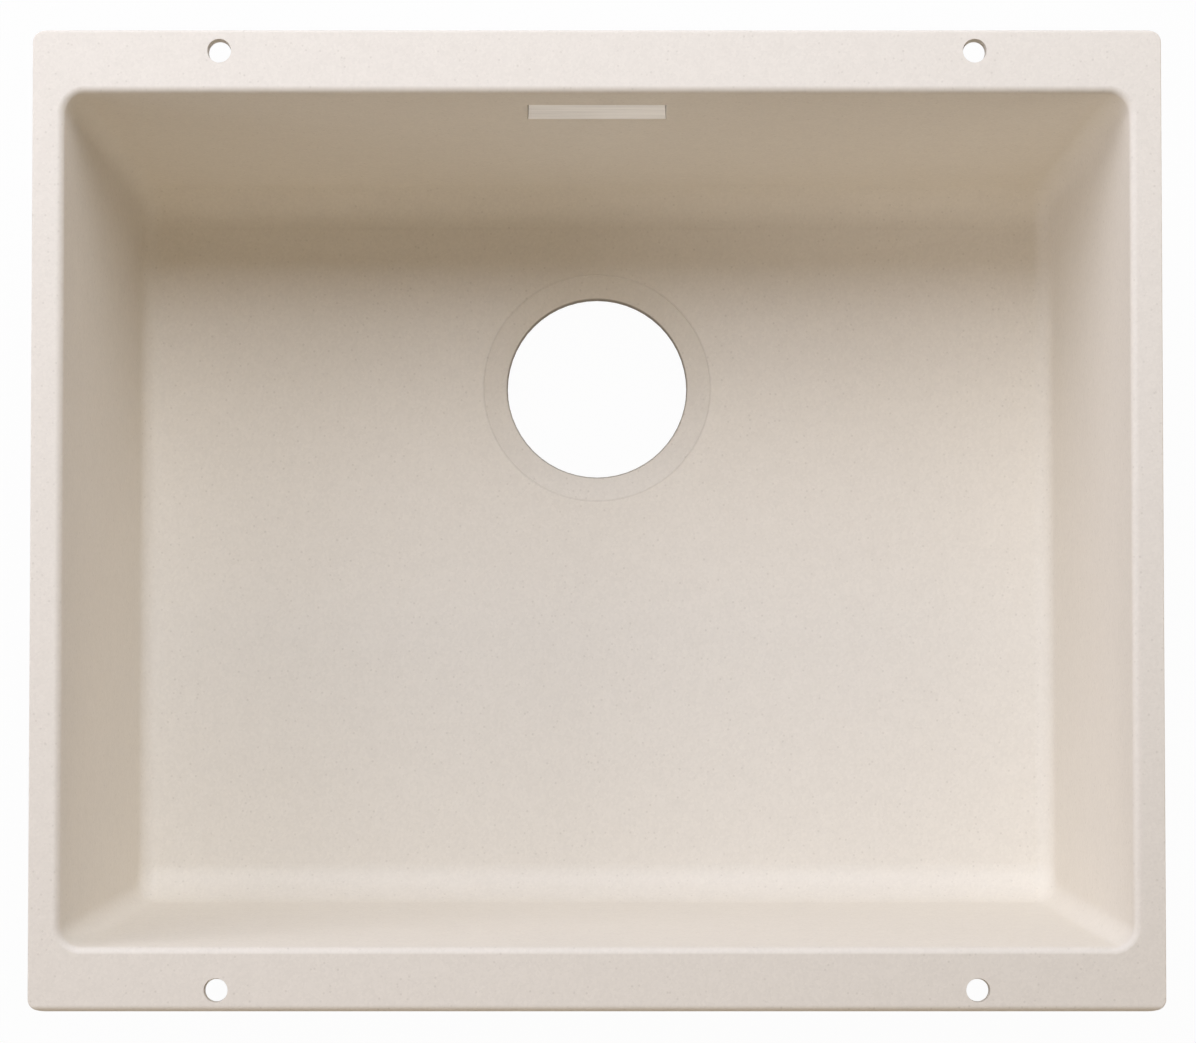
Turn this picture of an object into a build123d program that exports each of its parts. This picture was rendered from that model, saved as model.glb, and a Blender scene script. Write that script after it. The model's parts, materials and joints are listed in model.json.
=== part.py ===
from build123d import *

import math
import os

# An undermount kitchen sink: one composite casting with a covered overflow in its rear wall.
# The origin is the middle of the flange's top face. +X is to the right, +Y to the rear, +Z up.
# All lengths are in millimetres and all angles in degrees.

# Flange: a land runs round the bowl's mouth, narrow at the sides and wide at the front and rear
flange_length = 530.0
flange_width = 460.0
flange_thickness = 8.0
side_land = 15.0
front_rear_land = 30.0
flange_front_edge_r = 2.8
flange_rear_edge_r = 1.2
flange_side_edge_chamfer = 0.4
flange_bottom_edge_chamfer = 1.0
corner_side_r = 5.2
corner_end_r = 18.0
corner_end_turn = 15.0
flange_root_r = 5.0

# Fixing holes through the flange, cast on pins: a short straight land at the top, then a draft
hole_spacing = 355.0
hole_to_edge = 9.8
hole_r = 5.6
hole_land = 0.5
hole_draft = 3.0

# Bowl
rim_r = 3.6
wall_draft = 6.8
bowl_depth = 190.0
front_rear_floor_r = 20.0
side_wall_r = 10.0
wall_thickness = 8.0
floor_thickness = 12.0

# Floor fall and drain seat
drain_offset = 79.0
floor_fall = 1.0
floor_fall_margin = 1.5
floor_fall_foot = 2.0
seat_r = 57.0
seat_lip = 0.35
seat_fall = 2.6
drain_r = 45.0
drain_edge_chamfer = 0.7

# Overflow slot in the rear wall
slot_width = 66.0
slot_height = 25.0
slot_top_depth = 23.0
slot_jamb_draft = 3.0
slot_edge_r = 0.6

# Overflow boss behind the rear wall, a flat pad for the seal
boss_proud = 2.2
boss_margin = 2.0
boss_corner_r = 8.0
boss_edge_chamfer = 1.5
frame_rim = 3.5

# Overflow cover, a sheet metal part held in the slot by its frame
cover_clearance = 0.25
cover_sheet = 1.5
cover_tilt = 30.0
cover_rise = 12.5

# Overflow seal
seal_thickness = 2.0
seal_margin = 9.0
seal_lip = 1.5

# Overflow housing
housing_flange_thickness = 3.0
housing_depth = 19.0
housing_wall = 2.0
housing_margin = 2.5
housing_edge_chamfer = 2.5
housing_corner_r = 4.0
chamber_edge_chamfer = 1.0
ear_reach = 11.0
ear_r = 7.5
rib_thickness = 1.8
rib_height = 5.0
rib_length = 10.0

# Hose spigot under the housing
spigot_r = 9.0
spigot_bore_r = 7.0
spigot_length = 36.0
spigot_collar_r = 9.5
spigot_collar_length = 6.0
spigot_tip_chamfer = 1.2

# Screws and the threaded inserts cast into the boss
screw_r = 2.0
screw_length = 12.0
screw_head_r = 4.0
screw_head_height = 2.8
screw_head_chamfer = 0.8
screw_socket_r = 1.4
screw_socket_depth = 1.6
screw_hole_clearance = 0.3
insert_r = 3.2
insert_length = 8.0
thread_clearance = 0.05
insert_clearance = 0.05

# How far a cutting shape passes beyond the face that it cuts, and how near counts as touching
overcut = 1.0
touching = 0.01

# The mouth is measured between the walls at the foot of the rim rounding
mouth_length = flange_length - 2 * side_land
mouth_width = flange_width - 2 * front_rear_land
draft_slope = math.tan(math.radians(wall_draft))
draft_cosine = math.cos(math.radians(wall_draft))
rim_foot = rim_r * math.tan(math.radians((90.0 - wall_draft) / 2)) * draft_cosine
slot_top = -slot_top_depth
slot_bottom = slot_top - slot_height
slot_middle = (slot_top + slot_bottom) / 2
underside = -(bowl_depth + floor_thickness)


def wall_half(half_mouth, z):
    """Half the distance between two opposite inner walls at height z."""
    return half_mouth - (-z - rim_foot) * draft_slope


def outer_half(half_mouth, z):
    """Half the distance between the outer faces of two opposite walls at height z."""
    return wall_half(half_mouth, z) + wall_thickness / draft_cosine


slot_face = wall_half(mouth_width / 2, slot_middle)
boss_face = outer_half(mouth_width / 2, slot_top) + boss_proud
seal_face = boss_face + seal_thickness
ear_x = slot_width / 2 + ear_reach
RISING = (Align.CENTER, Align.CENTER, Align.MIN)
FALLING = (Align.CENTER, Align.CENTER, Align.MAX)


def bowl_form(half_x, half_y, z_top, z_bottom, end_r, side_r):
    """A drafted block with rounded floor edges; half_x and half_y give its size at a height.

    The floor is rounded along the front and rear walls first. Each side wall is then rounded
    all along its border, up both corners and across the floor, with one rolling radius.
    """
    reach = flange_length + flange_width
    end_outline = Polyline(
        (-half_y(z_top), z_top),
        (-half_y(z_bottom), z_bottom),
        (half_y(z_bottom), z_bottom),
        (half_y(z_top), z_top),
        close=True,
    )
    end_profile = Plane.YZ * make_face(end_outline)
    end_profile = fillet(end_profile.vertices().group_by(Axis.Z)[0], end_r)
    side_outline = Polyline(
        (-half_x(z_top), z_top),
        (-half_x(z_bottom), z_bottom),
        (half_x(z_bottom), z_bottom),
        (half_x(z_top), z_top),
        close=True,
    )
    side_profile = Plane.XZ * make_face(side_outline)
    form = extrude(end_profile, reach, both=True) & extrude(side_profile, reach, both=True)
    side_walls = form.faces().sort_by(Axis.X)
    border = ShapeList(side_walls[0].edges() + side_walls[-1].edges())
    border = border.filter_by(lambda edge: edge.center().Z < z_top - touching)
    return fillet(border, side_r)


def flange_plate():
    """The flange: rounded along its front and rear ends, and nearly sharp at its sides.

    Each corner of its outline is a tight arc at the side that runs out into a shallow one.
    """
    turn = math.radians(corner_end_turn)
    run_x = corner_side_r * (1 - math.sin(turn)) + corner_end_r * math.sin(turn)
    run_y = corner_side_r * math.cos(turn) + corner_end_r * (1 - math.cos(turn))
    half_x = flange_length / 2
    half_y = flange_width / 2
    rear = Line((0, half_y), (half_x - run_x, half_y))
    shallow = JernArc(rear @ 1, rear % 1, corner_end_r, -corner_end_turn)
    tight = JernArc(shallow @ 1, shallow % 1, corner_side_r, corner_end_turn - 90)
    side = Line(tight @ 1, (half_x, 0))
    centre_lines = [Line((half_x, 0), (0, 0)), Line((0, 0), (0, half_y))]
    quarter = make_face([rear, shallow, tight, side] + centre_lines)
    half = quarter + mirror(quarter, Plane.YZ)
    outline = half + mirror(half, Plane.XZ)
    plate = extrude(outline, -flange_thickness)
    plate = chamfer(plate.faces().sort_by(Axis.Z)[-1].edges(), flange_side_edge_chamfer)
    plate = chamfer(plate.faces().sort_by(Axis.Z)[0].edges(), flange_bottom_edge_chamfer)
    end_view = Pos(0, -flange_thickness) * Rectangle(flange_width, 2 * flange_thickness)
    front = end_view.vertices().group_by(Axis.Y)[-1].sort_by(Axis.X)[0]
    end_view = fillet(front, flange_front_edge_r)
    rear = end_view.vertices().group_by(Axis.Y)[-1].sort_by(Axis.X)[-1]
    end_view = fillet(rear, flange_rear_edge_r)
    return plate & extrude(Plane.YZ * end_view, flange_length, both=True)


def jamb_half(y):
    """Half the slot's width at y: its ends draw in a little towards the back of the wall."""
    slope = math.tan(math.radians(slot_jamb_draft))
    return slot_width / 2 - (y - slot_face) * slope


def slot_block(z_low, z_high, clearance=0.0):
    """The space of the slot between two heights, drawn in from its ends by a clearance."""
    y_front = wall_half(mouth_width / 2, slot_bottom) - overcut
    y_rear = boss_face + overcut
    front = jamb_half(y_front) - clearance
    rear = jamb_half(y_rear) - clearance
    outline = Polyline(
        (-front, y_front), (front, y_front), (rear, y_rear), (-rear, y_rear), close=True
    )
    return extrude(Pos(0, 0, z_low) * make_face(outline), z_high - z_low)


def upright(sketch, y_front, y_rear):
    """A sketch drawn in X and Z, given thickness from y_front back to y_rear."""
    return extrude(Plane.XZ.offset(-y_front) * sketch, y_rear - y_front, dir=(0, 1, 0))


def box_sketch(x_half, z_low, z_high, corner_r):
    """A rectangle with rounded corners, centred on X and drawn between two heights."""
    rectangle = RectangleRounded(2 * x_half, z_high - z_low, corner_r)
    return Pos(0, (z_low + z_high) / 2) * rectangle


def across(outline, half_length):
    """A closed outline of Y and Z points, extruded to both sides of the middle plane."""
    return extrude(Plane.YZ * make_face(Polyline(*outline, close=True)), half_length, both=True)


def rod(radius, x, y_rear, length):
    """A round bar that runs forwards from y_rear at the height of the slot's middle."""
    return Pos(x, y_rear, slot_middle) * Rot(90, 0, 0) * Cylinder(radius, length, align=RISING)


def overflow_boss():
    """The pad on the back of the rear wall: upright and flat, to seat the overflow's seal."""
    half_x = ear_x + ear_r + boss_margin
    low = slot_bottom - seal_margin - boss_margin
    high = -flange_thickness / 2
    sketch = Pos(0, (low + high) / 2) * Rectangle(2 * half_x, high - low)
    sketch = fillet(sketch.vertices().group_by(Axis.Y)[0], boss_corner_r)
    pad = upright(sketch, wall_half(mouth_width / 2, low), boss_face)
    border = pad.faces().sort_by(Axis.Y)[-1].edges()
    border = border.filter_by(lambda edge: edge.center().Z < high - touching)
    return chamfer(border, boss_edge_chamfer)


def floor_pitch():
    """The fall of the floor: four gentle slopes from just inside the rounding to the seat."""
    bend = math.tan(math.radians((90.0 - wall_draft) / 2))
    half_x = wall_half(mouth_length / 2, -bowl_depth) - side_wall_r * bend - floor_fall_margin
    half_y = wall_half(mouth_width / 2, -bowl_depth) - front_rear_floor_r * bend
    half_y -= floor_fall_margin
    foot = seat_r + floor_fall_foot
    ring_z = -(bowl_depth + floor_fall)
    along = Polyline(
        (-half_x, -bowl_depth), (-foot, ring_z), (foot, ring_z), (half_x, -bowl_depth), close=True
    )
    to_rear = Polyline(
        (-half_y, -bowl_depth),
        (drain_offset - foot, ring_z),
        (drain_offset + foot, ring_z),
        (half_y, -bowl_depth),
        close=True,
    )
    fall_along = extrude(Plane.XZ * make_face(along), flange_width, both=True)
    return fall_along & extrude(Plane.YZ * make_face(to_rear), flange_length, both=True)


def drain_cut():
    """The drain: a lip, a seat that falls inwards for the strainer's flange, and the hole."""
    ring_z = -(bowl_depth + floor_fall)
    outline = Polyline(
        (0, ring_z + overcut),
        (seat_r, ring_z + overcut),
        (seat_r, ring_z),
        (seat_r - seat_lip, ring_z - seat_lip),
        (drain_r + drain_edge_chamfer, ring_z - seat_fall),
        (drain_r, ring_z - seat_fall - drain_edge_chamfer),
        (drain_r, underside - overcut),
        (0, underside - overcut),
        close=True,
    )
    return Pos(0, drain_offset, 0) * revolve(Plane.XZ * make_face(outline), Axis.Z)


def fixing_hole():
    """One fixing hole: straight for a short land at the top, and then narrowing to the underside."""
    foot_r = hole_r - (flange_thickness - hole_land) * math.tan(math.radians(hole_draft))
    outline = Polyline(
        (0, overcut),
        (hole_r, overcut),
        (hole_r, -hole_land),
        (foot_r, -flange_thickness),
        (foot_r, -flange_thickness - overcut),
        (0, -flange_thickness - overcut),
        close=True,
    )
    return revolve(Plane.XZ * make_face(outline), Axis.Z)


def sink_bowl():
    """The casting: flange, bowl, drain seat, overflow slot and the boss behind it."""
    shell = bowl_form(
        lambda z: outer_half(mouth_length / 2, z),
        lambda z: outer_half(mouth_width / 2, z),
        -flange_thickness / 2,
        underside,
        front_rear_floor_r + wall_thickness,
        side_wall_r + wall_thickness,
    )
    body = flange_plate() + shell
    flange_underside = body.faces().filter_by(
        lambda face: abs(face.center().Z + flange_thickness) < touching
    )
    body = fillet(flange_underside[0].inner_wires()[0].edges(), flange_root_r)
    body += overflow_boss()
    body -= bowl_form(
        lambda z: wall_half(mouth_length / 2, z),
        lambda z: wall_half(mouth_width / 2, z),
        overcut,
        -bowl_depth,
        front_rear_floor_r,
        side_wall_r,
    )
    body = fillet(body.faces().sort_by(Axis.Z)[-1].inner_wires()[0].edges(), rim_r)
    body -= floor_pitch()
    body -= drain_cut()
    body -= GridLocations(hole_spacing, flange_width - 2 * hole_to_edge, 2, 2) * fixing_hole()
    body -= slot_block(slot_bottom, slot_top)
    slot_edges = body.edges().filter_by(
        lambda edge: abs(edge.center().X) <= slot_width
        and slot_bottom - touching <= edge.center().Z <= slot_top + touching
        and abs(edge.center().Y - wall_half(mouth_width / 2, edge.center().Z)) < touching
    )
    body = fillet(slot_edges, slot_edge_r)
    rebate = box_sketch(
        jamb_half(boss_face) + frame_rim, slot_bottom - frame_rim, slot_top + frame_rim, frame_rim
    )
    body -= upright(rebate, boss_face - cover_sheet - cover_clearance, boss_face + overcut)
    for x in (-ear_x, ear_x):
        body -= rod(insert_r + insert_clearance, x, boss_face, insert_length + cover_clearance)
    return body


def overflow_cover():
    """The cover in the slot: a plain face that leans back and hides the way in above it."""
    lean = math.radians(cover_tilt)
    low = slot_bottom + cover_clearance
    front = wall_half(mouth_width / 2, low)
    top = low + cover_rise
    foot_top = low + cover_sheet
    crest = front + cover_rise * math.tan(lean)
    foot_front = front + cover_sheet * math.tan(lean)
    sheet = cover_sheet / math.cos(lean)
    back = boss_face - cover_sheet
    shelf = [
        (front, low),
        (crest, top),
        (crest + sheet, top),
        (foot_front + sheet, foot_top),
        (back, foot_top),
        (back, low),
    ]
    cover = across(shelf, slot_width) & slot_block(low, slot_top, cover_clearance)
    cheek = across([(front, low), (crest, top), (back, top), (back, low)], slot_width)
    cheek &= slot_block(low, slot_top, cover_clearance)
    cheek -= slot_block(low, slot_top, cover_clearance + cover_sheet)
    cover += cheek
    half = jamb_half(boss_face)
    grip = frame_rim - cover_clearance
    frame = box_sketch(half + grip, slot_bottom - grip, slot_top + grip, grip)
    opening = Pos(0, (foot_top + slot_top) / 2) * Rectangle(
        2 * (half - cover_clearance - cover_sheet), slot_top - foot_top
    )
    return cover + upright(frame - opening, back, boss_face)


def seal_outline(shrink=0.0):
    """The outline shared by the seal and the housing: a rectangle with an ear at each end."""
    half_x = slot_width / 2 + seal_margin - shrink
    low = slot_bottom - seal_margin + shrink
    high = slot_top + seal_margin - shrink
    ears = Pos(0, slot_middle) * SlotCenterToCenter(2 * ear_x, 2 * (ear_r - shrink))
    return box_sketch(half_x, low, high, housing_corner_r) + ears


def screw_holes():
    """The two clearance holes for the screws, as seen from behind."""
    hole = Circle(screw_r + screw_hole_clearance)
    return Sketch() + [Pos(x, slot_middle) * hole for x in (-ear_x, ear_x)]


def overflow_seal():
    """The rubber seal between the boss and the housing, pressed flat."""
    way = box_sketch(
        slot_width / 2 + seal_lip, slot_bottom - seal_lip, slot_top + seal_lip, seal_lip
    )
    return upright(seal_outline(cover_clearance) - way - screw_holes(), boss_face, seal_face)


def overflow_housing():
    """The moulded chamber that catches the overflow and leads it down to the hose spigot."""
    half_x = slot_width / 2 + housing_margin
    low = slot_bottom - housing_margin
    high = slot_top + housing_margin
    rear = seal_face + housing_depth
    corner_r = housing_corner_r + housing_wall
    dome = upright(
        box_sketch(half_x + housing_wall, low - housing_wall, high + housing_wall, corner_r),
        seal_face,
        rear,
    )
    dome = chamfer(dome.faces().sort_by(Axis.Y)[-1].edges(), housing_edge_chamfer)
    housing = dome + upright(seal_outline(), seal_face, seal_face + housing_flange_thickness)
    spigot_y = seal_face + housing_depth / 2
    spigot_top = low - housing_wall
    spigot = Pos(0, spigot_y, spigot_top + housing_wall) * Cylinder(
        spigot_r, spigot_length + housing_wall, align=FALLING
    )
    spigot = chamfer(spigot.faces().sort_by(Axis.Z)[0].edges(), spigot_tip_chamfer)
    collar = Pos(0, spigot_y, spigot_top + housing_wall) * Cylinder(
        spigot_collar_r, spigot_collar_length + housing_wall, align=FALLING
    )
    housing += spigot + collar
    rib_foot = seal_face + housing_flange_thickness
    for side, start in ((1, high + housing_wall), (-1, low - housing_wall)):
        outline = [
            (rib_foot, start - side),
            (rib_foot, start + side * rib_height),
            (rib_foot + rib_length, start),
            (rib_foot + rib_length, start - side),
        ]
        rib = across(outline, rib_thickness / 2)
        housing += GridLocations(half_x, 1, 2, 1) * rib
    chamber = upright(
        box_sketch(half_x, low, high, housing_corner_r), seal_face - overcut, rear - housing_wall
    )
    chamber = chamfer(chamber.faces().sort_by(Axis.Y)[-1].edges(), chamber_edge_chamfer)
    bore = Pos(0, spigot_y, low + overcut) * Cylinder(
        spigot_bore_r, housing_wall + spigot_length + 2 * overcut, align=FALLING
    )
    housing -= chamber
    housing -= bore
    housing -= upright(screw_holes(), seal_face - overcut, rear)
    return housing


def overflow_screw(x):
    """A pan-head screw with a six-sided socket, its head on the housing's ear."""
    top = seal_face + housing_flange_thickness + screw_head_height
    head = rod(screw_head_r, x, top, screw_head_height)
    head = chamfer(head.faces().sort_by(Axis.Y)[-1].edges(), screw_head_chamfer)
    screw = head + rod(screw_r, x, top, screw_head_height + screw_length)
    socket = Pos(x, slot_middle) * RegularPolygon(screw_socket_r, 6)
    return screw - upright(socket, top - screw_socket_depth, top + overcut)


def overflow_insert(x):
    """A threaded insert cast into the boss."""
    sleeve = rod(insert_r, x, boss_face, insert_length)
    return sleeve - rod(screw_r + thread_clearance, x, boss_face, insert_length)


pieces = {
    "sink_bowl": sink_bowl(),
    "overflow_cover": overflow_cover(),
    "overflow_seal": overflow_seal(),
    "overflow_housing": overflow_housing(),
}
for side, x in (("left", -ear_x), ("right", ear_x)):
    pieces["overflow_screw_" + side] = overflow_screw(x)
    pieces["overflow_insert_" + side] = overflow_insert(x)

os.makedirs("parts", exist_ok=True)
for name, piece in pieces.items():
    export_step(piece, f"parts/{name}.step")
    print(name, len(piece.solids()), round(piece.volume), piece.bounding_box())
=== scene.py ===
# %% [markdown]
# # A cast composite kitchen sink, dressed for its picture
#
# The shapes come packed from CAD: one casting with its flange, drain and overflow slot, and the small
# parts of the overflow behind its rear wall. This lesson gives each its finish, models the small parts
# more finely, and sets up the lamps and the camera.
#
# Everything is in metres, in the part's own frame: the origin is the middle of the flange's top face,
# +X is right, +Y is the rear wall with the overflow, and +Z is up.

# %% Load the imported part
import json
import math

import bpy
import numpy as np
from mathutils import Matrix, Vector


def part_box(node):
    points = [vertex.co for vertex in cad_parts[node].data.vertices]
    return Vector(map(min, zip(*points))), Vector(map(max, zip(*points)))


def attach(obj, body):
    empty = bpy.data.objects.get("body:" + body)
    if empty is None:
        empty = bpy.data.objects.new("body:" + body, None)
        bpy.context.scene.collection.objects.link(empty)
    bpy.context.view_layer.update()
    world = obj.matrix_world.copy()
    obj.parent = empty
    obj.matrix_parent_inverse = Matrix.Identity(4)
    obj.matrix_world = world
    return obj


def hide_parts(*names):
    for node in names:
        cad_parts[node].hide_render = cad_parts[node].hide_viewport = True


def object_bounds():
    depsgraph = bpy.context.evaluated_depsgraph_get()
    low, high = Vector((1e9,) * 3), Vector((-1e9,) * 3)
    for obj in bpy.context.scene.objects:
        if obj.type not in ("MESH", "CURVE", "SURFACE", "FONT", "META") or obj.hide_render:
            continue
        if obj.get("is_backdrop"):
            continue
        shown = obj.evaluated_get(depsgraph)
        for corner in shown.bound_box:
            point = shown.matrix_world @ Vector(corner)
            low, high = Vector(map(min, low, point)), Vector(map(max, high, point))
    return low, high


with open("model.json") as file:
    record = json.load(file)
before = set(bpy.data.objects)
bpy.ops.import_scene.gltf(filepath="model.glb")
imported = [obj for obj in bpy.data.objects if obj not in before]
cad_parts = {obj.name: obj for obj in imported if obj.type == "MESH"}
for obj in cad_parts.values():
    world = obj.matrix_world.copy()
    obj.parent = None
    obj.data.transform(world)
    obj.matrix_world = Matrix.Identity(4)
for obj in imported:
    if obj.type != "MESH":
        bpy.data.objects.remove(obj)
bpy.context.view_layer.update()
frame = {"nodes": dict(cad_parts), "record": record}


nodes = frame["nodes"]
print("nodes:", sorted(nodes))

# %% [markdown]
# ## Small helpers for materials
#
# Colours are written the way a paint chip or a screen gives them, as sRGB hex values. Blender mixes light
# in linear values, so one function turns each hex value to linear. A second one adds a node, sets it and
# links it, so that each material below reads as a list of its layers.
#
# A Mix node keeps sockets for every kind of data under the same few names, so they go by their places.

# %% Colour and node helpers
MM = 0.001
FACTOR, FLOAT_A, FLOAT_B, COLOUR_A, COLOUR_B = 0, 2, 3, 6, 7
MIXED_COLOUR = 2


def linear(hex_colour):
    """An sRGB hex colour as linear RGBA.

    A channel c is c / 12.92 near black, and ((c + 0.055) / 1.055) ** 2.4 otherwise.
    """
    channels = [int(hex_colour[i : i + 2], 16) / 255 for i in (1, 3, 5)]
    return [c / 12.92 if c <= 0.04045 else ((c + 0.055) / 1.055) ** 2.4 for c in channels] + [1.0]


def add_node(tree, kind, settings=None, links=None):
    """Adds a node. A setting is an input's value or one of the node's properties.

    A link's source is a socket, or a node, which gives its first output.
    """
    node = tree.nodes.new(kind)
    for name, value in (settings or {}).items():
        if isinstance(name, int) or name in node.inputs:
            node.inputs[name].default_value = value
        else:
            setattr(node, name, value)
    for name, source in (links or {}).items():
        socket = source.outputs[0] if isinstance(source, bpy.types.Node) else source
        tree.links.new(socket, node.inputs[name])
    return node


def new_material(name):
    """A material with no nodes yet, and its node tree."""
    material = bpy.data.materials.new(name)
    material.use_nodes = True
    material.node_tree.nodes.clear()
    return material, material.node_tree


def dress(node_name, material):
    """Gives a CAD node one material."""
    mesh = nodes[node_name].data
    mesh.materials.clear()
    mesh.materials.append(material)
    print(node_name, "is", material.name, "of", len(material.node_tree.nodes), "nodes")


print("a mid grey, #808080, is", round(linear("#808080")[0], 3), "in linear light")

# %% [markdown]
# ## Quartz composite
#
# The sink is cast from quartz sand bound in acrylic resin and poured in a matt mould. The eye gets a soft
# white body, a grain of pale and grey sand, a few dark specks, and a dry broad gloss with no clear
# reflection.
#
# Noise alone could tint the body, but its hills run into each other, and grains of sand don't. Each cell
# of a Voronoi pattern has an edge and a random grey of its own, so cells make the sand here, and noise is
# kept for what has no edges: the clouds of the pour and the matt skin.

# %% The sand and the clouds in it
SAND_SHADES = "#DED7CA", "#EAE3D6"


def sand(tree, place):
    """The body's colour, from the grey of the grain and the cloud at a place."""
    # Real grit is 0.1 to 0.6 mm, finer than a pixel here, so the grains are drawn 1.2 mm wide to show.
    grit_mm = 1.2
    grit = add_node(tree, "ShaderNodeTexVoronoi", {"Scale": 1 / (grit_mm * MM)}, {"Vector": place})
    grit_grey = add_node(tree, "ShaderNodeRGBToBW", links={"Color": grit.outputs["Color"]})
    # The pour is never quite even, and leaves clouds up to 9 mm wide.
    cloud_mm, cloud_share = 9.0, 0.45
    cloud_noise = {"Scale": 1 / (cloud_mm * MM), "Detail": 3.0}
    cloud = add_node(tree, "ShaderNodeTexNoise", cloud_noise, {"Vector": place})
    both = {"data_type": "FLOAT", FACTOR: cloud_share}
    blend = add_node(tree, "ShaderNodeMix", both, {FLOAT_A: grit_grey, FLOAT_B: cloud})
    darker, paler = map(linear, SAND_SHADES)
    shades = {"data_type": "RGBA", COLOUR_A: darker, COLOUR_B: paler}
    return add_node(tree, "ShaderNodeMix", shades, {FACTOR: blend}).outputs[MIXED_COLOUR]


print("the sand's shades reflect", [round(linear(shade)[1], 2) for shade in SAND_SHADES], "of green light")

# %% Darker grains here and there
GRAIN_FULL, GRAIN_GONE = 0.08, 0.21


def dark_grains(tree, place, colour, cell_mm, least_grey, strength):
    """Lays a darker grain in the middle of each cell whose random grey is above the least one.

    A grain is full up to GRAIN_FULL of a cell from the cell's middle, and gone at GRAIN_GONE of a cell.
    """
    grey_span = 0.08
    cell = add_node(tree, "ShaderNodeTexVoronoi", {"Scale": 1 / (cell_mm * MM)}, {"Vector": place})
    cell_grey = add_node(tree, "ShaderNodeRGBToBW", links={"Color": cell.outputs["Color"]})
    rise = {"From Min": least_grey, "From Max": least_grey + grey_span, "To Max": strength}
    chosen = add_node(tree, "ShaderNodeMapRange", rise, {"Value": cell_grey})
    fall = {"From Min": GRAIN_FULL, "From Max": GRAIN_GONE, "To Min": 1.0, "To Max": 0.0}
    near = add_node(tree, "ShaderNodeMapRange", fall, {"Value": cell.outputs["Distance"]})
    share = add_node(tree, "ShaderNodeMath", {"operation": "MULTIPLY"}, {0: chosen, 1: near})
    shade = {"data_type": "RGBA", COLOUR_B: linear("#A69C8A")}
    return add_node(tree, "ShaderNodeMix", shade, {FACTOR: share, COLOUR_A: colour}).outputs[MIXED_COLOUR]


print("a grain is up to", 2 * GRAIN_GONE, "of its cell wide")

# %% [markdown]
# The walls of the drain and of the fixing holes get painted shade, darker than the skin outside. The drain's
# seat is drawn a shade darker, with a painted shadow line round its edge. The record says where the holes
# are and how wide, so these rings follow the CAD. The dark could be painted on faces of its own, but rings
# round an axis need no faces and keep a fine edge.

# %% Painted shade in the holes and on the drain's seat
mounts = {mount["name"]: mount for mount in frame["record"]["mounts"]}
DRAIN_R = mounts["drain_hole"]["dims"]["r_mm"]
FIXING_HOLES = mounts["fixing_holes"]["dims"]
# The seat is no mount, so its radius stands here.
SEAT_R = 57.0


def painted_hole_shade(tree, place):
    """How much painted shade a place gets, from its distances to the holes' axes.

    Each ring adds its share inside its first radius and nothing outside its second one. Without the signs
    of x and y, the four fixing holes fall into one.
    """
    flat = add_node(tree, "ShaderNodeVectorMath", {"operation": "MULTIPLY", 1: (1.0, 1.0, 0.0)}, {0: place})
    corner = add_node(tree, "ShaderNodeVectorMath", {"operation": "ABSOLUTE"}, {0: flat})
    drain_x, drain_y, _ = mounts["drain_hole"]["pos_m"]
    hole_x, hole_y = FIXING_HOLES["spacing_x_mm"] / 2 * MM, FIXING_HOLES["spacing_y_mm"] / 2 * MM
    hole_r = FIXING_HOLES["hole_r_mm"]
    drain, fixing_hole = (flat, (drain_x, drain_y, 0.0)), (corner, (hole_x, hole_y, 0.0))
    # Round which hole, full inside and nothing outside these radii in mm, and the share.
    # The first ring is painted shade on the drain's wall. The next two are a painted shadow line round the
    # seat's edge, with a seat drawn a shade darker inside it. The last is painted shade on the fixing holes'
    # walls.
    rings = (
        (drain, DRAIN_R, DRAIN_R + 0.7, 0.8),
        (drain, SEAT_R + 0.2, SEAT_R + 0.7, 0.12),
        (drain, SEAT_R - 0.6, SEAT_R - 0.1, -0.07),
        (fixing_hole, hole_r, hole_r + 0.05, 0.25),
    )
    total = None
    for (spot, middle), full_mm, none_mm, share in rings:
        away = add_node(tree, "ShaderNodeVectorMath", {"operation": "DISTANCE", 1: middle}, {0: spot})
        ramp = {"From Min": full_mm * MM, "From Max": none_mm * MM, "To Min": share, "To Max": 0.0}
        ring = add_node(tree, "ShaderNodeMapRange", ramp, {"Value": away.outputs["Value"]})
        if total is None:
            total = ring
        else:
            total = add_node(tree, "ShaderNodeMath", {"operation": "ADD"}, {0: total, 1: ring})
    return total


print("radius in mm of the drain", DRAIN_R, "its seat", SEAT_R, "a fixing hole", FIXING_HOLES["hole_r_mm"])

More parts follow.
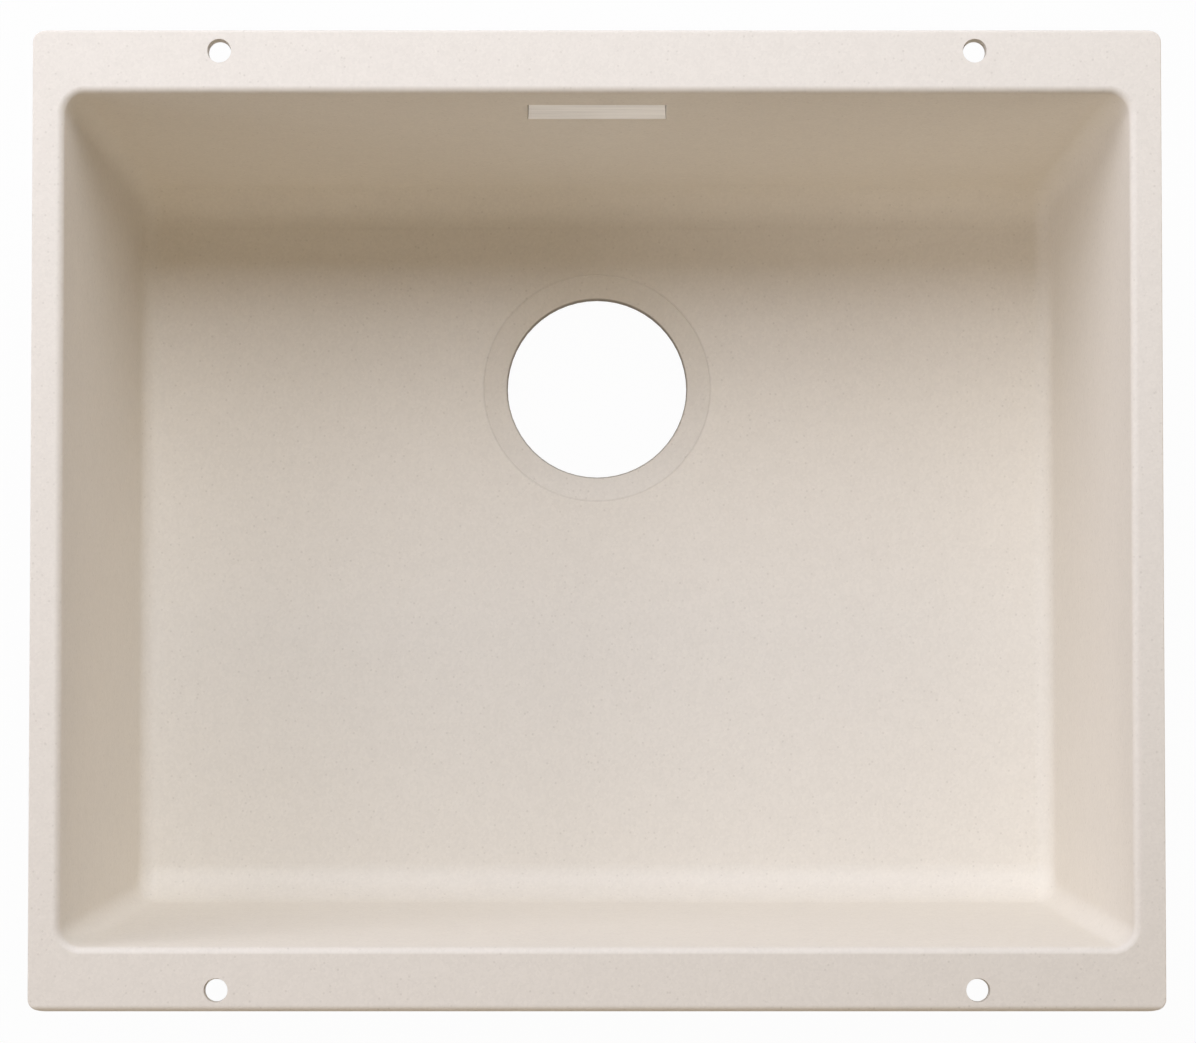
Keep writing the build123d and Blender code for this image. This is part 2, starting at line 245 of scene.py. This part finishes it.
# %% Quartz composite material
def quartz_composite():
    """Sand, two sizes of darker grains and painted shade in the holes and on the seat, under a dry matt
    skin.
    """
    material, tree = new_material("cast_quartz_and_acrylic_composite")
    place = add_node(tree, "ShaderNodeTexCoord").outputs["Object"]
    colour = sand(tree, place)
    # The first grains are up to 1.5 mm wide, and the finer ones hardly show.
    colour = dark_grains(tree, place, colour, cell_mm=3.5, least_grey=0.48, strength=0.22)
    colour = dark_grains(tree, place, colour, cell_mm=1.9, least_grey=0.44, strength=0.08)
    # Painted shade darkens the holes' walls and the seat, with a painted shadow line round the seat's edge.
    painted_shade_share = painted_hole_shade(tree, place)
    painted_shade_colour = {"data_type": "RGBA", COLOUR_B: linear("#7A7163")}
    colour = add_node(
        tree, "ShaderNodeMix", painted_shade_colour, {FACTOR: painted_shade_share, COLOUR_A: colour}
    ).outputs[MIXED_COLOUR]
    # The mould's etched face leaves dents 0.1 mm wide and 0.02 mm deep, drawn 1.4 mm wide to show.
    dent_mm, dent_deep_mm = 1.4, 0.02
    skin_noise = {"Scale": 1 / (dent_mm * MM), "Detail": 3.0}
    skin = add_node(tree, "ShaderNodeTexNoise", skin_noise, {"Vector": place})
    dents = {"Strength": 0.35, "Distance": dent_deep_mm * MM}
    bump = add_node(tree, "ShaderNodeBump", dents, {"Height": skin})
    dry = add_node(tree, "ShaderNodeMapRange", {"To Min": 0.52, "To Max": 0.64}, {"Value": skin})
    # Where the shade is painted, the same share also makes the skin rougher.
    shaded_zone_rough = {"data_type": "FLOAT", FLOAT_B: 0.95}
    rough = add_node(tree, "ShaderNodeMix", shaded_zone_rough, {FACTOR: painted_shade_share, FLOAT_A: dry})
    shader = add_node(
        tree, "ShaderNodeBsdfPrincipled", {"IOR": 1.5},
        {"Base Color": colour, "Roughness": rough, "Normal": bump},
    )
    add_node(tree, "ShaderNodeOutputMaterial", links={"Surface": shader})
    return material


dress("sink_bowl", quartz_composite())

# %% [markdown]
# ## Brushed stainless steel
#
# The overflow's cover is bent from stainless sheet. An abrasive belt has drawn fine lines along it, so it
# throws back the room as a streak across those lines, neither a mirror nor a flat grey. Stretched noise
# could be painted into the colour alone, but then the metal would look printed: here the lines move the
# roughness and the bump too, and the shader's anisotropy smears the reflection across them.

# %% Brushed stainless steel material
def brushed_stainless_sheet():
    """Noise drawn out along X, which tints, roughens and dents the sheet."""
    material, tree = new_material("stainless_sheet_belt_brushed")
    place = add_node(tree, "ShaderNodeTexCoord").outputs["Object"]
    # Real belt lines are 0.05 mm apart, too fine to show, so they are drawn 1.3 mm apart and 60 mm long.
    line_mm, run_mm, line_deep_mm = 1.3, 60.0, 0.01
    stretch = {"Scale": (1 / (run_mm * MM), 1 / (line_mm * MM), 1 / (line_mm * MM))}
    along = add_node(tree, "ShaderNodeMapping", stretch, {"Vector": place})
    lines = add_node(tree, "ShaderNodeTexNoise", {"Scale": 1.0, "Detail": 3.0}, {"Vector": along})
    shades = {"data_type": "RGBA", COLOUR_A: linear("#BFBBB5"), COLOUR_B: linear("#F1EDE7")}
    tint = add_node(tree, "ShaderNodeMix", shades, {FACTOR: lines})
    rough = add_node(tree, "ShaderNodeMapRange", {"To Min": 0.30, "To Max": 0.46}, {"Value": lines})
    scratches = {"Strength": 0.3, "Distance": line_deep_mm * MM}
    bump = add_node(tree, "ShaderNodeBump", scratches, {"Height": lines})
    across = add_node(tree, "ShaderNodeTangent", {"direction_type": "RADIAL", "axis": "X"})
    shader = add_node(
        tree, "ShaderNodeBsdfPrincipled", {"Metallic": 1.0, "Anisotropic": 0.6},
        {"Base Color": tint.outputs[MIXED_COLOUR], "Roughness": rough, "Normal": bump, "Tangent": across},
    )
    add_node(tree, "ShaderNodeOutputMaterial", links={"Surface": shader})
    return material


dress("overflow_cover", brushed_stainless_sheet())

# %% [markdown]
# ## EPDM rubber
#
# The seal is cut from black EPDM sheet. Such sheet is calendered between rollers and dusted with talc, so
# it is nearly black, dull, and a little grey in patches where the talc stays. A flat black would look
# like a hole in the picture. One noise for the talc moves both colour and gloss, as real dust does.

# %% EPDM rubber material
def epdm_sheet():
    """Talc in patches over a fine-grained black."""
    material, tree = new_material("epdm_rubber_sheet_calendered")
    place = add_node(tree, "ShaderNodeTexCoord").outputs["Object"]
    talc_mm, grain_mm, grain_deep_mm = 6.0, 0.5, 0.03
    talc_noise = {"Scale": 1 / (talc_mm * MM), "Detail": 4.0}
    talc = add_node(tree, "ShaderNodeTexNoise", talc_noise, {"Vector": place})
    shades = {"data_type": "RGBA", COLOUR_A: linear("#161617"), COLOUR_B: linear("#343434")}
    tint = add_node(tree, "ShaderNodeMix", shades, {FACTOR: talc})
    grain_noise = {"Scale": 1 / (grain_mm * MM), "Detail": 2.0}
    grain = add_node(tree, "ShaderNodeTexNoise", grain_noise, {"Vector": place})
    grainy = {"Strength": 0.5, "Distance": grain_deep_mm * MM}
    bump = add_node(tree, "ShaderNodeBump", grainy, {"Height": grain})
    dull = add_node(tree, "ShaderNodeMapRange", {"To Min": 0.68, "To Max": 0.9}, {"Value": talc})
    shader = add_node(
        tree, "ShaderNodeBsdfPrincipled", {"IOR": 1.52},
        {"Base Color": tint.outputs[MIXED_COLOUR], "Roughness": dull, "Normal": bump},
    )
    add_node(tree, "ShaderNodeOutputMaterial", links={"Surface": shader})
    return material


dress("overflow_seal", epdm_sheet())

# %% [markdown]
# ## Moulded polypropylene
#
# The overflow's housing is injection moulded in undyed polypropylene. It comes out milky, lets a little
# light into its walls, and copies the fine pitted texture that spark erosion left in the steel mould.
# Plain white plastic would look like paint. A little subsurface light softens its edges instead, and the
# melt's flow leaves slow changes of tint and gloss.

# %% Polypropylene material
def moulded_polypropylene():
    """A milky plastic: slow flow marks, fine pits, and light that enters 1.5 mm deep."""
    material, tree = new_material("polypropylene_moulded_fine_pitted")
    place = add_node(tree, "ShaderNodeTexCoord").outputs["Object"]
    # The pits are 0.1 mm wide, and are drawn 0.45 mm wide to show.
    flow_mm, pit_mm, pit_deep_mm, light_deep_mm = 14.0, 0.45, 0.02, 1.5
    flow_noise = {"Scale": 1 / (flow_mm * MM), "Detail": 2.0}
    flow = add_node(tree, "ShaderNodeTexNoise", flow_noise, {"Vector": place})
    shades = {"data_type": "RGBA", COLOUR_A: linear("#D0CFC8"), COLOUR_B: linear("#DFDED8")}
    tint = add_node(tree, "ShaderNodeMix", shades, {FACTOR: flow})
    pits = add_node(tree, "ShaderNodeTexVoronoi", {"Scale": 1 / (pit_mm * MM)}, {"Vector": place})
    pitted = {"Strength": 0.3, "Distance": pit_deep_mm * MM}
    bump = add_node(tree, "ShaderNodeBump", pitted, {"Height": pits.outputs["Distance"]})
    sheen = add_node(tree, "ShaderNodeMapRange", {"To Min": 0.38, "To Max": 0.5}, {"Value": flow})
    milky = {
        "IOR": 1.49,
        "Subsurface Weight": 0.1,
        "Subsurface Radius": (1.0, 1.0, 0.9),
        "Subsurface Scale": light_deep_mm * MM,
    }
    shader = add_node(
        tree, "ShaderNodeBsdfPrincipled", milky,
        {"Base Color": tint.outputs[MIXED_COLOUR], "Roughness": sheen, "Normal": bump},
    )
    add_node(tree, "ShaderNodeOutputMaterial", links={"Surface": shader})
    return material


dress("overflow_housing", moulded_polypropylene())

# %% [markdown]
# ## Pressed stainless steel for the screws
#
# Screws are cold headed and rolled from bright wire. They keep a smooth skin with small scuffs from
# tumbling together in the box. A brushed look would be wrong for them, because no belt touches them, so
# one fine noise scuffs tint and gloss together, with no direction.

# %% Stainless wire material
def rolled_stainless_wire():
    """Bright metal with small scuffs."""
    material, tree = new_material("stainless_wire_cold_headed")
    place = add_node(tree, "ShaderNodeTexCoord").outputs["Object"]
    scuff_mm = 0.6
    scuff_noise = {"Scale": 1 / (scuff_mm * MM), "Detail": 5.0}
    scuff = add_node(tree, "ShaderNodeTexNoise", scuff_noise, {"Vector": place})
    shades = {"data_type": "RGBA", COLOUR_A: linear("#BDBAB5"), COLOUR_B: linear("#D6D3CE")}
    tint = add_node(tree, "ShaderNodeMix", shades, {FACTOR: scuff})
    rough = add_node(tree, "ShaderNodeMapRange", {"To Min": 0.2, "To Max": 0.38}, {"Value": scuff})
    shader = add_node(
        tree, "ShaderNodeBsdfPrincipled", {"Metallic": 1.0},
        {"Base Color": tint.outputs[MIXED_COLOUR], "Roughness": rough},
    )
    add_node(tree, "ShaderNodeOutputMaterial", links={"Surface": shader})
    return material


wire = rolled_stainless_wire()
print(wire.name, "of", len(wire.node_tree.nodes), "nodes")

# %% [markdown]
# ## Screws: a grid wound round an axis
#
# The two screws are pan-head machine screws with a six-sided socket and a 4 mm thread. A screw could be
# a lathe shape with a boolean for the socket and a second helix for the thread. One surface is cleaner:
# rows of points run from the middle of the socket over the head and down the thread to the tip, and every
# row is a ring whose radius may change with the angle. A hexagon gives the socket and a winding triangle
# wave gives the thread, in whole arrays.

# %% Points on rings
def ring_points(rows, turn, axis_point):
    """Rings of points round a line parallel to Y, as an array of rings by angles by x, y and z in metres.

    Each row is a ring's radius, one number or one for each angle in turn, and its height, in mm. A point
    lies at x + radius * cos(turn), y + height, z + radius * sin(turn) of the axis point.
    """
    ring = np.ones_like(turn)
    radius = np.array([wide * ring for wide, _ in rows])
    height = np.array([high * ring for _, high in rows])
    return np.stack((radius * np.cos(turn), height, radius * np.sin(turn)), axis=-1) * MM + axis_point


half_turn = np.array([0.0, np.pi])
print("two points of a ring of 10 mm:", ring_points([(10.0, 0.0)], half_turn, (0, 0, 0)).round(3).tolist())

# %% Faces between rings
def ring_faces(rings, turns, ends):
    """Quads between neighbouring rings, and fans of triangles at the ends.

    Point number turns * ring + place lies on a ring. With ends "joined" the last ring joins the first.
    With "capped" each of the two closes in a middle point, whose numbers follow those of all rings.
    """
    index = np.arange(rings * turns).reshape(rings, turns)
    after = np.roll(index, -1, axis=1)
    if ends == "joined":
        index_up, after_up = np.roll(index, -1, axis=0), np.roll(after, -1, axis=0)
        return np.stack((index, after, after_up, index_up), axis=-1).reshape(-1, 4), np.empty((0, 3), int)
    quads = np.stack((index[:-1], after[:-1], after[1:], index[1:]), axis=-1).reshape(-1, 4)
    start_fan = np.stack((after[0], index[0], np.full(turns, rings * turns)), axis=-1)
    end_fan = np.stack((index[-1], after[-1], np.full(turns, rings * turns + 1)), axis=-1)
    return quads, np.concatenate((start_fan, end_fan))


quads, fans = ring_faces(3, 8, "capped")
print("three rings of eight points have", len(quads), "quads and", len(fans), "triangles when capped")

# %% From rings to a mesh
def ring_grid(name, rows, turn, axis_point, ends):
    """A closed mesh of rings, whose faces look outwards."""
    crease_degrees = 38
    grid = ring_points(rows, turn, axis_point)
    quads, fans = ring_faces(len(rows), turn.size, ends)
    points = grid.reshape(-1, 3)
    if ends == "capped":
        points = np.concatenate((points, grid[[0, -1]].mean(1)))
    triangles = np.concatenate((quads[:, [0, 1, 2]], quads[:, [0, 2, 3]], fans))
    a, b, c = points[triangles].transpose(1, 0, 2)
    # The volume is negative when the faces look inwards.
    volume = np.einsum("ij,ij->i", a, np.cross(b, c)).sum() / 6
    if volume < 0:
        quads, fans = quads[:, ::-1], fans[:, ::-1]
    mesh = bpy.data.meshes.new(name)
    mesh.from_pydata(points.tolist(), [], quads.tolist() + fans.tolist())
    mesh.shade_smooth()
    mesh.set_sharp_from_angle(angle=math.radians(crease_degrees))
    piece = bpy.data.objects.new(name, mesh)
    bpy.context.scene.collection.objects.link(piece)
    print(name, len(mesh.polygons), "faces,", round(abs(volume) * 1e9, 1), "cubic mm")
    return piece


def settle(piece, node_name, material):
    """Puts a new piece in the place of its CAD node."""
    piece.data.materials.append(material)
    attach(piece, "root")
    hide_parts(node_name)


# %% The screw's head
HEAD_R, HEAD_HIGH = 4.0, 2.8
# A ring has 48 points, eight to a side of the hexagon.
screw_turn = np.linspace(0, 2 * np.pi, 6 * 8, endpoint=False)


def head_rows(turn):
    """Rings from the middle of the socket over the head to its underside.

    The hexagon's radius at an angle is its half width / cos(angle to the nearest flat's middle). The
    head's top is a quarter of an ellipse.
    """
    dome_rings = 12
    flat_half, socket_deep, point_r, point_deep = 1.21, 1.6, 0.25, 0.35
    mouth_r, mouth_deep, crown_r, side_high = 1.5, 0.12, 1.9, 0.9
    flat = flat_half / np.cos((turn + np.pi / 6) % (np.pi / 3) - np.pi / 6)
    socket_floor = HEAD_HIGH - socket_deep
    socket = [
        (point_r, socket_floor - point_deep),
        (flat, socket_floor),
        (flat, HEAD_HIGH - mouth_deep),
        (0.5 * (flat + mouth_r), HEAD_HIGH),
    ]
    dome = np.linspace(0, np.pi / 2, dome_rings)
    dome_r = crown_r + (HEAD_R - crown_r) * np.sin(dome)
    dome_high = side_high + (HEAD_HIGH - side_high) * np.cos(dome)
    # Three rings round the head's lower edge by about a quarter of a millimetre.
    edge = [(HEAD_R, 0.25), (HEAD_R - 0.08, 0.06), (HEAD_R - 0.28, 0.0)]
    return socket + list(zip(dome_r, dome_high)) + edge


head = head_rows(screw_turn)
print(len(head), "rings from the socket to the head's underside")

# %% The screw's thread
def thread_rows(turn):
    """Rings from the neck under the head down to the tip.

    The radius falls from the thread's to the root's by a triangle wave of (height / pitch - turns), which
    fades in over one pitch below the plain neck. A power below 1 keeps the crests sharp.
    """
    thread_r, root_r, pitch, long, crest_power, rings_per_turn = 2.0, 1.62, 0.7, 12.0, 0.8, 8
    fillet, neck_long, end_long, tip_long, tip_r = 0.2, 0.8, 0.35, 0.3, 1.25
    down = np.arange(-neck_long, -long + end_long, -pitch / rings_per_turn)
    wind = (down[:, None] / pitch - turn / (2 * np.pi)) % 1.0
    fade = np.clip((-neck_long - down) / pitch, 0, 1)[:, None]
    radius = thread_r - fade * (thread_r - root_r) * (1 - np.abs(2 * wind - 1)) ** crest_power
    neck = [(thread_r + fillet, 0.0), (thread_r, -fillet)]
    return neck + list(zip(radius, down)) + [(root_r, -long + tip_long), (tip_r, -long)]


thread = thread_rows(screw_turn)
print(len(thread), "rings from the neck to the tip")

# %% Screws
def pan_head_screw(node_name, material):
    """A screw in its node's box, head to the rear."""
    low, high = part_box(node_name)
    middle = ((low[0] + high[0]) / 2, high[1] - HEAD_HIGH * MM, (low[2] + high[2]) / 2)
    piece = ring_grid(node_name + "_threaded", head + thread, screw_turn, middle, "capped")
    settle(piece, node_name, material)


for side in ("left", "right"):
    pan_head_screw("overflow_screw_" + side, wire)

# %% [markdown]
# ## Threaded inserts
#
# Brass inserts are cast into the boss, because a thread cut in the composite would crumble. They are
# turned from bar and knurled, so that the cast grips them. Small pyramids could be laid round a plain
# sleeve one by one. It is simpler to take the product of two waves that wind round the sleeve in opposite
# directions, whose hills meet as diamonds.

# %% Turned brass material
def turned_brass():
    """Yellow metal with the fine rings that a lathe's tool leaves."""
    material, tree = new_material("brass_bar_turned_and_knurled")
    place = add_node(tree, "ShaderNodeTexCoord").outputs["Object"]
    # The tool leaves rings 0.1 mm apart; they are drawn 1.885 mm apart to show. A Wave texture of scale 1
    # is a sine of 20 radians a metre, so it repeats every 2 pi / 20 metres.
    ring_mm, radians_a_metre = 1.885, 20
    turning = {
        "bands_direction": "Y",
        "Scale": 2 * math.pi / (radians_a_metre * ring_mm * MM),
        "Distortion": 0.6,
    }
    rings = add_node(tree, "ShaderNodeTexWave", turning, {"Vector": place}).outputs["Fac"]
    shades = {"data_type": "RGBA", COLOUR_A: linear("#C7A253"), COLOUR_B: linear("#DDBE78")}
    tint = add_node(tree, "ShaderNodeMix", shades, {FACTOR: rings})
    rough = add_node(tree, "ShaderNodeMapRange", {"To Min": 0.24, "To Max": 0.4}, {"Value": rings})
    shader = add_node(
        tree, "ShaderNodeBsdfPrincipled", {"Metallic": 1.0},
        {"Base Color": tint.outputs[MIXED_COLOUR], "Roughness": rough},
    )
    add_node(tree, "ShaderNodeOutputMaterial", links={"Surface": shader})
    return material


brass = turned_brass()
print(brass.name, "of", len(brass.node_tree.nodes), "nodes")

# %% The insert's rings
TEETH = 11
# A ring has twelve points to a tooth.
sleeve_turn = np.linspace(0, 2 * np.pi, 12 * TEETH, endpoint=False)


def sleeve_rows(turn):
    """Rings that run out along the bore and back over the knurl.

    The knurl's radius is the outer radius less its half depth * (1 - cos(TEETH * turn + lead * height)
    * cos(TEETH * turn - lead * height)), where lead is 2 pi / the knurl's pitch. A plain groove lies in
    its middle.
    """
    outer_r, bore_r, long = 3.2, 2.05, 8.0
    bore_edge, outer_edge, outer_edge_long = 0.25, 0.4, 0.35
    knurl_pitch, knurl_half_deep, knurl_rings = 1.7, 0.14, 48
    groove_r, groove_half_long, groove_slope_long = 2.7, 0.7, 0.25
    lead = 2 * np.pi / knurl_pitch
    back = np.linspace(-outer_edge_long, -long + outer_edge_long, knurl_rings)
    hills = np.cos(TEETH * turn + lead * back[:, None]) * np.cos(TEETH * turn - lead * back[:, None])
    knurl = outer_r - knurl_half_deep * (1 - hills)
    groove = np.clip((np.abs(back + long / 2) - groove_half_long) / groove_slope_long, 0, 1)[:, None]
    front = [(bore_r, -bore_edge), (bore_r + bore_edge, 0.0), (outer_r - outer_edge, 0.0)]
    sides = list(zip(groove_r + (knurl - groove_r) * groove, back))
    end = [(outer_r - outer_edge, -long), (bore_r + bore_edge, -long), (bore_r, -long + bore_edge)]
    return front + sides + end


sleeve = sleeve_rows(sleeve_turn)
print(len(sleeve), "rings round the sleeve's section")

# %% Inserts
def knurled_insert(node_name, material):
    """A sleeve in its node's box, open ends to front and rear."""
    low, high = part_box(node_name)
    middle = ((low[0] + high[0]) / 2, high[1], (low[2] + high[2]) / 2)
    piece = ring_grid(node_name + "_knurled", sleeve, sleeve_turn, middle, "joined")
    settle(piece, node_name, material)


for side in ("left", "right"):
    knurled_insert("overflow_insert_" + side, brass)

# %% [markdown]
# ## Floor and room
#
# The sink stands on a wide sheet of pale paper in a white room. A real studio gets its white background
# from more light, which would wash out the sink. Here the floor and the room glow only for the rays that
# see them, straight or in metal, and stay quiet for the rays that light the sink. A few hundredths of
# the paper's own look are kept, and with them the sink's shadow.

# %% Floor
def seen_rays(tree):
    """1 for a ray that comes straight from the camera, a mirror or glass, and 0 for one that only lights."""
    rays = add_node(tree, "ShaderNodeLightPath").outputs
    largest = {"operation": "MAXIMUM"}
    direct = add_node(tree, "ShaderNodeMath", largest, {0: rays["Is Camera Ray"], 1: rays["Is Glossy Ray"]})
    return add_node(tree, "ShaderNodeMath", largest, {0: direct, 1: rays["Is Transmission Ray"]})


def studio_floor(half_width, glow_share):
    """A flat square at the object's lowest level; it takes shadows, and glows white where it is seen."""
    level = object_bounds()[0].z
    mesh = bpy.data.meshes.new("studio_floor")
    signs = np.array([(-1, -1), (1, -1), (1, 1), (-1, 1)])
    corners = np.column_stack((half_width * signs, np.full(4, level)))
    mesh.from_pydata(corners.tolist(), [], [(0, 1, 2, 3)])
    floor = bpy.data.objects.new("studio_floor", mesh)
    bpy.context.scene.collection.objects.link(floor)
    floor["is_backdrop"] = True
    material, tree = new_material("matt_pale_grey_paper")
    paper = add_node(tree, "ShaderNodeBsdfDiffuse", {"Color": linear("#C8C8C8")})
    glow = add_node(tree, "ShaderNodeEmission", {"Color": linear("#FFFFFF"), "Strength": 1.0})
    share = add_node(tree, "ShaderNodeMath", {"operation": "MULTIPLY", 1: glow_share}, {0: seen_rays(tree)})
    both = add_node(tree, "ShaderNodeMixShader", links={0: share, 1: paper, 2: glow})
    add_node(tree, "ShaderNodeOutputMaterial", links={"Surface": both})
    mesh.materials.append(material)
    print("the floor lies", round(-1000 * level, 1), "mm under the flange's face")


studio_floor(half_width=12.0, glow_share=0.97)

# %% Room
def studio_world(fill, seen, fill_colour):
    """A white room that lights things at the fill level and colour, and is seen at the seen level."""
    world = bpy.data.worlds.new("studio_world")
    world.use_nodes = True
    tree = world.node_tree
    tree.nodes.clear()
    direct = seen_rays(tree)
    level = add_node(tree, "ShaderNodeMapRange", {"To Min": fill, "To Max": seen}, {"Value": direct})
    shades = {"data_type": "RGBA", COLOUR_A: linear(fill_colour), COLOUR_B: linear("#FFFFFF")}
    tint = add_node(tree, "ShaderNodeMix", shades, {FACTOR: direct}).outputs[MIXED_COLOUR]
    sky = add_node(tree, "ShaderNodeBackground", links={"Color": tint, "Strength": level})
    add_node(tree, "ShaderNodeOutputWorld", links={"Surface": sky})
    bpy.context.scene.world = world
    print("the room lights the sink at", fill, "and is seen at", seen)


studio_world(fill=0.11, seen=1.0, fill_colour="#FFDEBF")

# %% [markdown]
# ## Lamps
#
# The photograph is lit by one large soft source above and behind the sink: its rear wall lies in its own
# shade, and the right and front walls are bright. One lamp that large would shade the floor in a single
# slope. A bank of strips behind the sink follows the real shade step by step. Boxes on the left light the
# right wall, two weaker ones on the right keep the left wall from going flat, and one in front shows the
# rounding at the foot of the rear wall.
#
# The key light from behind and the left is daylight, a little cool. The light that fills the shade, from
# the right, from the front and from the room, is a little warm.

# %% Soft boxes
DAYLIGHT, COOL_WHITE, WARM_WHITE = "#E9F0FF", "#F2F2FF", "#FFF6F4"
WARM_FILL, WALL_WHITE = "#FFEAC8", "#FFF6EA"
LAMP_DISTANCE = 2.0
LAMP_AIM = Vector((0.0, 0.0, -0.05))


def soft_box(name, polar, azimuth, width, height, power, colour):
    """A rectangular soft box that faces the object, with its sides in metres and its power in watts.

    polar is its angle from straight above and azimuth turns it from the rear to the left, in degrees,
    so it lies towards (-sin p sin a, sin p cos a, cos p).
    """
    p, a = math.radians(polar), math.radians(azimuth)
    way = Vector((-math.sin(p) * math.sin(a), math.sin(p) * math.cos(a), math.cos(p)))
    lamp = bpy.data.lights.new(name, "AREA")
    lamp.shape = "RECTANGLE"
    lamp.size = width
    lamp.size_y = height
    lamp.energy = power
    lamp.color = linear(colour)[:3]
    box = bpy.data.objects.new(name, lamp)
    box.location = LAMP_AIM + LAMP_DISTANCE * way
    box.rotation_euler = way.to_track_quat("Z", "Y").to_euler()
    bpy.context.scene.collection.objects.link(box)
    print(name, power, "W from", polar, "degrees off straight above")


for name, polar, power in (("high", 26, 9.6), ("upper", 34, 6.9), ("lower", 42, 6.6), ("low", 50, 5.1)):
    soft_box("rear_strip_" + name, polar, azimuth=0, width=1.0, height=0.28, power=power, colour=DAYLIGHT)
for name, polar, azimuth, height, power, colour in (
    ("left", 62, 90, 0.5, 7.2, COOL_WHITE),
    ("left_low", 76, 90, 0.5, 4.4, COOL_WHITE),
    ("left_rear", 50, 50, 0.6, 5.5, COOL_WHITE),
    ("left_rear_low", 70, 50, 0.6, 6.2, COOL_WHITE),
    ("right_rear", 50, -50, 0.6, 2.7, WARM_WHITE),
    ("right_rear_low", 70, -50, 0.6, 3.7, WARM_WHITE),
):
    soft_box(name + "_soft_box", polar, azimuth, width=0.8, height=height, power=power, colour=colour)
soft_box("front_soft_box", polar=50, azimuth=180, width=1.0, height=0.5, power=5.4, colour=WARM_FILL)

# %% [markdown]
# Two long low boxes stand in front and on the right, below the flange. No light from them reaches the
# flange's face or the bowl, but they keep the sink's outer walls from looking dark from those sides.

# %% Low boxes for the outer walls
# At this angle from straight above, the boxes' top edges end 19 mm below the flange's face.
low_polar = 91.4
for name, azimuth, power in (("front", 180, 3.5), ("right", -90, 6.0)):
    soft_box(
        name + "_wall_box", low_polar, azimuth, width=1.2, height=0.16, power=power, colour=WALL_WHITE
    )

# %% [markdown]
# ## The camera
#
# The photograph looks straight down on the sink from about two and a half metres, with the sink moved up
# in the frame. That could be had with a camera that looks straight down and a large lens shift. A shift
# stays in every other view too, so most of the move comes from a tilt of a few degrees, and only the rest
# is shift.

# %% Camera
def photo_camera(lens_mm, shift_up, place, tilt):
    """A camera with a 36 mm sensor that looks down, tilted by some degrees about X."""
    camera = bpy.data.cameras.new("camera")
    camera.sensor_width = 36.0
    camera.lens = lens_mm
    camera.shift_y = shift_up
    camera.clip_end = 50.0
    thing = bpy.data.objects.new("camera", camera)
    thing.location = place
    thing.rotation_euler = (math.radians(tilt), 0.0, 0.0)
    bpy.context.scene.collection.objects.link(thing)
    bpy.context.scene.camera = thing
    print("the camera stands", place[2], "m above the flange with a lens of", lens_mm, "mm")


photo_camera(lens_mm=166.3, shift_up=0.06, place=(0.0005, -0.1791, 2.5774), tilt=3.197)
bpy.context.scene.view_settings.view_transform = "Standard"
